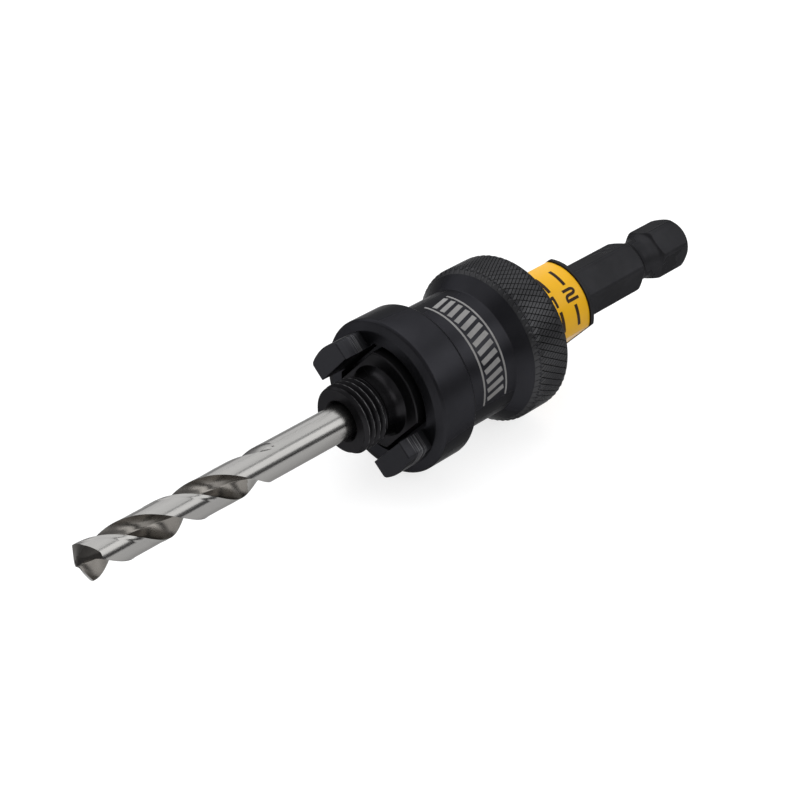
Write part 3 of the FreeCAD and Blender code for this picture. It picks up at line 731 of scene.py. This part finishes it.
def gripEdge(station):
    back = np.clip(station - (grip["rear"] - grip["edge"]), 0, grip["edge"])
    rear = grip["top"] - grip["edge"] + np.sqrt(np.clip(grip["edge"] ** 2 - back ** 2, 0, None))
    slope = (grip["top"] - grip["lip"]) / (grip["full"] - grip["start"])
    return softMin(rear, grip["lip"] + slope * (station - grip["start"]), 0.3)


trimAlong(knurl, grip["start"], grip["rear"] - 0.35)
holdInside(knurl, gripEdge)
shadeFaces(knurl, False)
print("knurl made", len(knurl.data.polygons))


def joinPieces(name, pieces):
    with bpy.context.temp_override(active_object=pieces[0], selected_editable_objects=pieces,
                                   selected_objects=pieces):
        bpy.ops.object.join()
    pieces[0].name = name
    return pieces[0]


slidingSleeve = joinPieces("slidingSleeve", [sleeve, *dogs, knurl])
print("sleeve joined", len(slidingSleeve.data.polygons))


# Numbered ring, slit on its far side
ring = {
    "front": 31.5,
    "rear": 46.65,
    "radius": 8.6,
    "flat": 7.17,
    "bore": 6.44,
    "slit": 2.0,
    "softness": 0.12,
}


def makeRing():
    front, rear = ring["front"], ring["rear"]
    radius, flat, bore = ring["radius"], ring["flat"], ring["bore"]
    corners = [
        (front, bore, flat, far, 0, far),
        (front, radius, flat, far, ring["softness"], far),
        (rear, radius, flat, far, ring["softness"], far),
        (rear, bore, flat, far, 0, far),
    ]
    low, high = ring["slit"] - 90, 270 - ring["slit"]
    angles = np.sort((ringAngles(220, doubleD(radius, flat)) + 90) % 360) - 90
    angles = angles[(angles > low) & (angles < high)]
    angles = np.concatenate(([low], angles, [high]))[None, :]
    station, radii = turnedRadii(stepProfile(corners, True), angles, 0.25)
    vertices = polarPoints(radii, angles + 0 * radii, station).reshape(-1, 3)
    rows, columns = radii.shape
    faces = gridFaces(rows, columns, True, False)
    faces.append(tuple(row * columns for row in range(rows)))
    faces.append(tuple(row * columns + columns - 1 for row in reversed(range(rows))))
    return tidyMesh(meshFrom("numberedRing", vertices, faces, ringYellow))


numberedRing = makeRing()
print("ring made", len(numberedRing.data.polygons))


# Printed marks: strokes of station and angle from straight up, laid on a round surface
def layStrokes(name, strokes, radius, material, proud):
    longest = 0.25
    vertices, faces = [], []
    for width, points in strokes:
        path = np.array([(station, math.radians(angle) * radius) for station, angle in points])
        fine = [path[0]]
        for start, end in zip(path[:-1], path[1:]):
            pieces = max(1, math.ceil(np.linalg.norm(end - start) / longest))
            fine += [start + (end - start) * step / pieces for step in range(1, pieces + 1)]
        fine = np.array(fine)
        ahead = np.gradient(fine, axis=0)
        ahead /= np.linalg.norm(ahead, axis=1)[:, None]
        across = np.stack((-ahead[:, 1], ahead[:, 0]), -1)
        first = len(vertices)
        for share in (-0.5, 0.0, 0.5):
            line = fine + across * width * share
            angle = line[:, 1] / radius
            lift = radius + proud
            spots = np.stack((line[:, 0] + place["flangeX"], -lift * np.sin(angle),
                              lift * np.cos(angle) + place["axisZ"]), -1) * mm
            vertices += list(spots)
        count = len(fine)
        for band in (0, 1):
            for number in range(count - 1):
                low = first + band * count + number
                faces.append((low, low + 1, low + count + 1, low + count))
    made = meshFrom(name, vertices, faces, material)
    shadeFaces(made, True)
    return made


marks = {
    "proud": 0.012,
    "figureStroke": 0.6,
    "dashStroke": 0.78,
    "dashStations": (39.4, 43.55),
    "dashAngles": ((5.6, 32.2), (59.7, 86.8)),
    "degree": 0.1501,  # millimetres round the ring
}


# A bow of a figure, wider along the arbor than round it
def bend(station, angle, start, end, steps):
    radius, stretch = 0.5, 1.6
    turns = np.radians(np.linspace(start, end, steps))
    return [(station + radius * math.cos(turn) * stretch,
             angle + radius * math.sin(turn) / marks["degree"]) for turn in turns]


figures = [
    [(42.0, 39.1), (43.9, 39.1), *bend(43.9, 42.45, -75, 75, 7), (43.9, 45.8), (43.0, 45.8),
     *bend(43.0, 49.2, 255, 190, 5), (42.15, 50.5), (42.15, 52.7)],
    [(41.92, 52.7), (45.05, 52.7)],
    [(39.25, 37.8), (39.25, 53.6)],
]
oneFlag = [(39.3, 38.9), (38.4, 41.2)]
strokes = [(marks["figureStroke"], figure) for figure in figures]
strokes.append((marks["figureStroke"] * 0.9, oneFlag))
for station in marks["dashStations"]:
    for start, end in marks["dashAngles"]:
        strokes.append((marks["dashStroke"], [(station, start), (station, end)]))
ringMarks = layStrokes("ringMarks", strokes, ring["radius"], ringInk, marks["proud"])

# Plain etched band on the waist: two lines with slanted bars between them
waist = {
    "lines": (13.9, 19.45),
    "lineWidth": 0.42,
    "start": -12.0,
    "end": 100.0,
    "bars": 13,
    "barWidth": 0.95,
    "barGap": 0.75,
    "barShift": 1.5,
    "slant": 5.0,
    "proud": 0.01,
}
lines = [(waist["lineWidth"], [(line, waist["start"]), (line, waist["end"])])
         for line in waist["lines"]]
etchedLines = layStrokes("etchedLines", lines, body["waist"], etchGrey, waist["proud"])
barStep = (waist["end"] - waist["start"] - waist["slant"]) / waist["bars"]
barPath = [(waist["lines"][0] + waist["barGap"] - place["flangeX"], waist["slant"]),
           (waist["lines"][1] - waist["barGap"] - place["flangeX"], 0.0)]
slantedBar = layStrokes("slantedBar", [(waist["barWidth"], barPath)], body["waist"], etchGrey,
                        waist["proud"])
slantedBar.data.transform(Matrix.Translation((0, 0, -place["axisZ"] * mm)))
firstBar = waist["start"] + 0.5 * (barStep - waist["slant"]) + waist["barShift"]
slantedBars = copiesAround("slantedBars", slantedBar, etchGrey, {
    "Around": waist["bars"],
    "Rows": 1,
    "Angle Step": math.radians(barStep),
    "First Angle": math.radians(firstBar),
    "Row Step": 0.0,
    "First Row": place["flangeX"] * mm,
    "Stagger": 0.0,
    "Axis Height": place["axisZ"] * mm,
})
etchedBand = joinPieces("etchedBand", [etchedLines, slantedBars])
print("marks made")

# Pilot drill: the section across its lands and flutes, turned along the helix
drill = {
    "radius": 3.175,
    "length": 75.6,
    "rear": 10.85,
    "flutes": 39.9,
    "lead": 29.65,
    "web": 1.27,
    "runout": 11.4,
    "bright": 33.5,
    "clock": 120.5,
    "lip": 44.5,
    "heel": 136.5,
    "point": 135.0,
    "margin": 13.0,
    "relief": 0.05,
    "bottomRadius": 1.75,
    "hook": 4.0,  # degrees that the heel's wall bends in
    "climb": 2.1,
    "flat": 2.725,
    "flatEnds": (2.0, 10.0),
    "lipRelief": 11.0,
    "heelRelief": 30.0,
    "heelFrom": 47.0,
    "deepest": 0.62,
    "rearEdge": 0.12,
    "fluteColumns": 44,
    "landColumns": 22,
}
drill["turn"] = 360.0 / drill["lead"]
drill["slope"] = 1 / math.tan(math.radians(drill["point"] / 2))


# The lip runs straight past the web, and the flute's face follows the helix back from it
def lipAngle(radius):
    reach = np.degrees(np.arcsin(np.clip(drill["web"] / 2 / np.maximum(radius, 1e-6), 0, 1)))
    rim = math.degrees(math.asin(drill["web"] / 2 / drill["radius"]))
    return drill["lip"] - reach + rim


def faceAngle(radius):
    return lipAngle(radius) + drill["turn"] * drill["slope"] * (drill["radius"] - radius)


# Across the flute: from the heel down to the web, then out along the lip's face
def fluteCurve():
    web, full = drill["web"] / 2, drill["radius"]
    bottom = faceAngle(web)
    beyond = full + 2.5
    wall = drill["heel"] - 180.0
    down = np.concatenate((np.linspace(beyond, full, 4)[:-1], np.linspace(full, web, 40)))
    depth = np.clip((drill["bottomRadius"] - down) / (drill["bottomRadius"] - web), 0, 1)
    hook = drill["hook"] * np.sin(np.clip((full - down) / (full - web), 0, 1) * math.pi)
    heelSide = wall - hook + (bottom - wall) * (1 - np.sqrt(np.clip(1 - depth ** 2, 0, 1)))
    rise = np.concatenate((np.linspace(web, full, 48)[1:], np.linspace(full, beyond, 4)[1:]))
    radius = np.concatenate((down, rise))
    angle = np.concatenate((heelSide, faceAngle(np.minimum(rise, full))))
    return radius * np.cos(np.radians(angle)), radius * np.sin(np.radians(angle))


# Values at even steps along a path
def spread(values, places, count):
    return np.interp(np.linspace(places[0], places[-1], count), places, values)


# The flute climbs out of the shank at its end; past the end its columns close at one angle
def fluteSection(height, curve, closing=0.0):
    count = drill["fluteColumns"]
    across, side = curve
    climb = max(0.0, (height - drill["flutes"] + drill["runout"]) / drill["runout"])
    lean = math.cos(math.radians(faceAngle(drill["web"] / 2)))
    lift = climb ** drill["climb"] * (drill["radius"] - drill["web"] / 2 + 0.02) / lean
    radius = np.hypot(across + lift, side)
    angle = np.degrees(np.arctan2(side, across + lift))
    inside = np.where(radius < drill["radius"] - 1e-6)[0]
    if height >= drill["flutes"] or len(inside) < 3:
        return np.full(count, drill["radius"]), np.full(count, closing)
    inside = max(np.split(inside, np.where(np.diff(inside) > 1)[0] + 1), key=len)
    ends = []
    for first, second in ((inside[0] - 1, inside[0]), (inside[-1] + 1, inside[-1])):
        share = (drill["radius"] - radius[first]) / (radius[second] - radius[first])
        ends.append(angle[first] + share * (angle[second] - angle[first]))
    radius = np.concatenate(([drill["radius"]], radius[inside], [drill["radius"]]))
    angle = np.concatenate(([ends[0]], angle[inside], [ends[1]]))
    x, y = radius * np.cos(np.radians(angle)), radius * np.sin(np.radians(angle))
    path = np.concatenate(([0], np.cumsum(np.hypot(np.diff(x), np.diff(y)))))
    x, y = spread(x, path, count), spread(y, path, count)
    return np.hypot(x, y), np.degrees(np.arctan2(y, x))


# The land: its margin at full size, then the relieved part up to the heel
def landSection(lip, heel, height):
    count = drill["landColumns"]
    fade = min(max((drill["flutes"] - drill["runout"] - height) / 4.0, 0.0), 1.0)
    margin = min(drill["margin"], (heel - lip) / 4)
    angles = [lip + margin * share for share in (0.33, 0.66, 1.0)]
    angles += list(np.linspace(lip + margin + 3.0, heel, count))
    low = drill["radius"] - drill["relief"] * fade
    return np.array([drill["radius"]] * 3 + [low] * count), np.array(angles)


# The two ground faces behind a lip fall away at two slopes
def flankDrop(behind):
    heel = drill["heelFrom"]
    first = math.tan(math.radians(drill["lipRelief"])) * np.radians(np.minimum(behind, heel))
    past = np.radians(np.clip(behind - heel, 0, 150.0))
    second = math.tan(math.radians(drill["heelRelief"])) * past
    return np.minimum(first + second, drill["deepest"])


# How far a place lies behind the lip of its own half
def behindLip(radius, angle, height):
    turned = angle + drill["turn"] * (height - drill["slope"] * drill["radius"])
    return np.mod(turned - lipAngle(radius) + 6.0, 180.0) - 6.0


# Height of the ground point over a place on the section, found step by step
def pointHeight(radius, angle, onFace):
    height = radius * drill["slope"]
    for _ in range(12):
        behind = np.where(onFace, 0.0, np.clip(behindLip(radius, angle, height), 0, None))
        height = 0.5 * height + 0.5 * radius * (drill["slope"] + flankDrop(behind))
    return height


def makeDrill():
    curve, count = fluteCurve(), drill["fluteColumns"]
    full, length, flutes = drill["radius"], drill["length"], drill["flutes"]
    closing = fluteSection(flutes - 0.1, curve)[1].mean()

    def wholeSection(height):
        radius, angle = fluteSection(height, curve, closing)
        landRadius, landAngle = landSection(angle[-1], angle[0] + 180.0, height)
        radius, angle = np.concatenate((radius, landRadius)), np.concatenate((angle, landAngle))
        return np.concatenate((radius, radius)), np.concatenate((angle, angle + 180.0))

    # The point: rings that widen from the axis to the section at the front
    radius, angle = wholeSection(0.0)
    lowest = int(np.argmin(radius[:count]))
    face = np.zeros(len(radius), bool)
    for first in (0, len(radius) // 2):
        face[first + lowest + 1:first + count] = True
    start = pointHeight(radius, angle, face)
    rows = []
    for share in (0.05, 0.15, 0.3, 0.45, 0.6, 0.75, 0.9):
        inner = radius * share
        rows.append((inner, angle, pointHeight(inner, angle, False)))
    capRows = len(rows)

    # The body: sections up the drill, close together where the flutes end
    flatFront, flatRear = (end + length - drill["rear"] for end in drill["flatEnds"])
    heights = np.concatenate((np.arange(0, flutes - 2.5, 0.25),
                              np.arange(flutes - 2.4, flutes + 0.1, 0.08),
                              np.linspace(flutes + 0.4, flatFront - 1.0, 7),
                              [flatFront - 0.01, flatFront, flatRear, flatRear + 0.01],
                              [length - 0.1, length]))
    for height in heights:
        level = start + height * (length - start) / length
        radius, angle = wholeSection(height)
        if height == length:
            radius = radius - drill["rearEdge"]
        rows.append((radius, angle, level))
    vertices = []
    for radius, angle, level in rows:
        angle = np.radians(angle + drill["clock"] + drill["turn"] * np.minimum(level, flutes))
        station = level + drill["rear"] - length
        across, side = radius * np.cos(angle), radius * np.sin(angle)
        onFlat = (station > drill["flatEnds"][0] - 0.005) & (station < drill["flatEnds"][1] + 0.005)
        side = np.where(onFlat, np.minimum(side, drill["flat"]), side)
        vertices.append(rowPoints(across, side, station))
    columns = len(radius)
    faces = gridFaces(len(rows), columns, False, True)
    faces.append(tuple(reversed(range(columns))))
    faces.append(tuple((len(rows) - 1) * columns + n for n in range(columns)))
    made = meshFrom("pilotDrill", np.concatenate(vertices), faces,
                    drillGround, fluteSteel, pointSteel, pointPaintedShade)

    # The point's primary facets take the point steel and its secondary facets the darker
    # painted-shade copy of it
    kinds = []
    for row, (radius, angle, level) in enumerate(rows[:-1]):
        second = behindLip(radius, angle, level) > drill["heelFrom"]
        flute = (np.arange(columns) % (columns // 2) < count - 1) & (radius < full - 0.004)
        flute &= level < drill["bright"]
        kinds += list(np.where(second, 3, 2) if row < capRows else flute.astype(int))
    made.data.polygons.foreach_set("material_index", np.array(kinds + [2, 0], np.int32))
    return tidyMesh(made, 30.0)


pilotDrill = makeDrill()
print("drill made", len(pilotDrill.data.polygons))

# Pieces take the places of the CAD nodes, and the hidden nodes get their materials
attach(armBody, "arbor")
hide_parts("arbor_body")
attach(slidingSleeve, "sleeve")
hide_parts("sliding_sleeve")
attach(etchedBand, "sleeve")
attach(numberedRing, "arbor")
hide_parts("indicator_ring")
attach(ringMarks, "arbor")
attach(pilotDrill, "arbor")
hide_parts("pilot_drill")
nodeMaterials = {
    "rear_bush": bronze,
    "stop_clip": springSteel,
    "pilot_screw": barBlack,
    "index_ball_upper": ballSteel,
    "index_ball_lower": ballSteel,
    "index_spring_upper": springSteel,
    "index_spring_lower": springSteel,
}
for node, material in nodeMaterials.items():
    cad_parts[node].data.materials.clear()
    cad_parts[node].data.materials.append(material)
print("pieces in place")


# Floor, light and camera
studio = {
    "floor": 0.4,
    "floorSize": 3.0,
    "glow": 0.76,  # white that the camera and the bright steel see in the floor
    "sky": (0.96, 0.97, 1.0, 1.0),
    "skyRise": (0.1, 0.42, 0.05, 0.5),
    "skyAway": (0.7, 0.7, 0.0),  # direction in which the sky is lifted and brighter
    "skyLift": 0.5,
    "skyShare": (-0.9, 0.9, 0.3, 1.5),
}
lights = {  # direction, distance, size and power
    "boxFront": ((0.375, -0.927, 0.76), 0.7, (1.2, 0.38), 2.4),
    "boxBack": ((0.2, 0.85, 0.5), 0.7, (1.2, 0.36), 1.3),
    "boxTop": ((0.2, 0.25, 1.0), 0.7, (1.0, 0.8), 2.7),
    "boxLeft": ((-1.0, -0.45, 0.65), 0.8, (0.55, 0.4), 0.3),
}
view = {
    "lens": 81.0,
    "sensor": 36.0,
    "station": -183.275,
    "side": -0.1857,
    "height": 0.1847,
    "right": (0.70184, -0.71234, 0.0),
    "up": (0.38819, 0.38247, 0.83848),
    "forward": (0.59727, 0.58848, -0.54495),
}
white = (1.0, 1.0, 1.0, 1.0)


def floorMaterial():
    material = newMaterial("floorPale", (studio["floor"],) * 3, 0.0, 0.9, Specular_IOR_Level=0.1)
    tree = material.node_tree
    shader = tree.nodes["Principled BSDF"]
    rays = addNode(tree, "ShaderNodeLightPath").outputs
    seen = calculate(tree, "MAXIMUM", rays["Is Camera Ray"], rays["Is Glossy Ray"])
    seen = calculate(tree, "MAXIMUM", seen, rays["Is Transmission Ray"])
    glow = calculate(tree, "MULTIPLY", seen, studio["glow"])
    shader.inputs["Emission Color"].default_value = white
    tree.links.new(glow, shader.inputs["Emission Strength"])
    return material


def makeFloor():
    size = studio["floorSize"]
    corners = [(-size, -size, 0), (size, -size, 0), (size, size, 0), (-size, size, 0)]
    made = meshFrom("floor", corners, [(0, 1, 2, 3)], floorMaterial())


def addLight(name, direction, distance, size, power):
    light = bpy.data.lights.new(name, "AREA")
    light.shape = "RECTANGLE"
    light.size, light.size_y = size
    light.energy = power
    made = addObject(name, light)
    aim = Vector((0, 0, place["axisZ"] * mm))
    made.location = aim + Vector(direction).normalized() * distance
    made.rotation_euler = (aim - made.location).to_track_quat("-Z", "Y").to_euler()


# A soft sky that brightens with height and away from the camera, and is white to the camera
def makeWorld():
    world = bpy.data.worlds.new("studio")
    bpy.context.scene.world = world
    world.use_nodes = True
    tree = world.node_tree
    soft = tree.nodes["Background"]
    soft.inputs["Color"].default_value = studio["sky"]
    sky = addNode(tree, "ShaderNodeTexCoord").outputs["Generated"]
    height = addNode(tree, "ShaderNodeSeparateXYZ", {0: sky}).outputs["Z"]
    along = addNode(tree, "ShaderNodeVectorMath", {0: sky}, operation="DOT_PRODUCT")
    along.inputs[1].default_value = studio["skyAway"]
    away = along.outputs["Value"]
    beyond = calculate(tree, "MAXIMUM", away, 0.0)
    lifted = calculate(tree, "MULTIPLY_ADD", beyond, studio["skyLift"], height)
    level = mapRange(tree, lifted, *studio["skyRise"])
    share = mapRange(tree, away, *studio["skyShare"])
    tree.links.new(calculate(tree, "MULTIPLY", level, share), soft.inputs["Strength"])
    plain = addNode(tree, "ShaderNodeBackground", Color=white, Strength=1.0)
    rays = addNode(tree, "ShaderNodeLightPath")
    mix = addNode(tree, "ShaderNodeMixShader", {
        "Fac": rays.outputs["Is Camera Ray"],
        1: soft.outputs["Background"],
        2: plain.outputs["Background"],
    })
    tree.links.new(mix.outputs["Shader"], tree.nodes["World Output"].inputs["Surface"])


def makeCamera():
    camera = addObject("camera", bpy.data.cameras.new("camera"))
    camera.data.lens = view["lens"]
    camera.data.sensor_width = view["sensor"]
    camera.data.clip_start = 0.01
    spot = ((place["flangeX"] + view["station"]) * mm, view["side"], view["height"])
    camera.matrix_world = Matrix((*(
        (view["right"][axis], view["up"][axis], -view["forward"][axis], spot[axis])
        for axis in range(3)), (0, 0, 0, 1)))
    bpy.context.scene.camera = camera


makeFloor()
for name, (direction, distance, size, power) in lights.items():
    addLight(name, direction, distance, size, power)
makeWorld()
makeCamera()
bpy.context.scene.view_settings.view_transform = "Standard"
print("studio set")
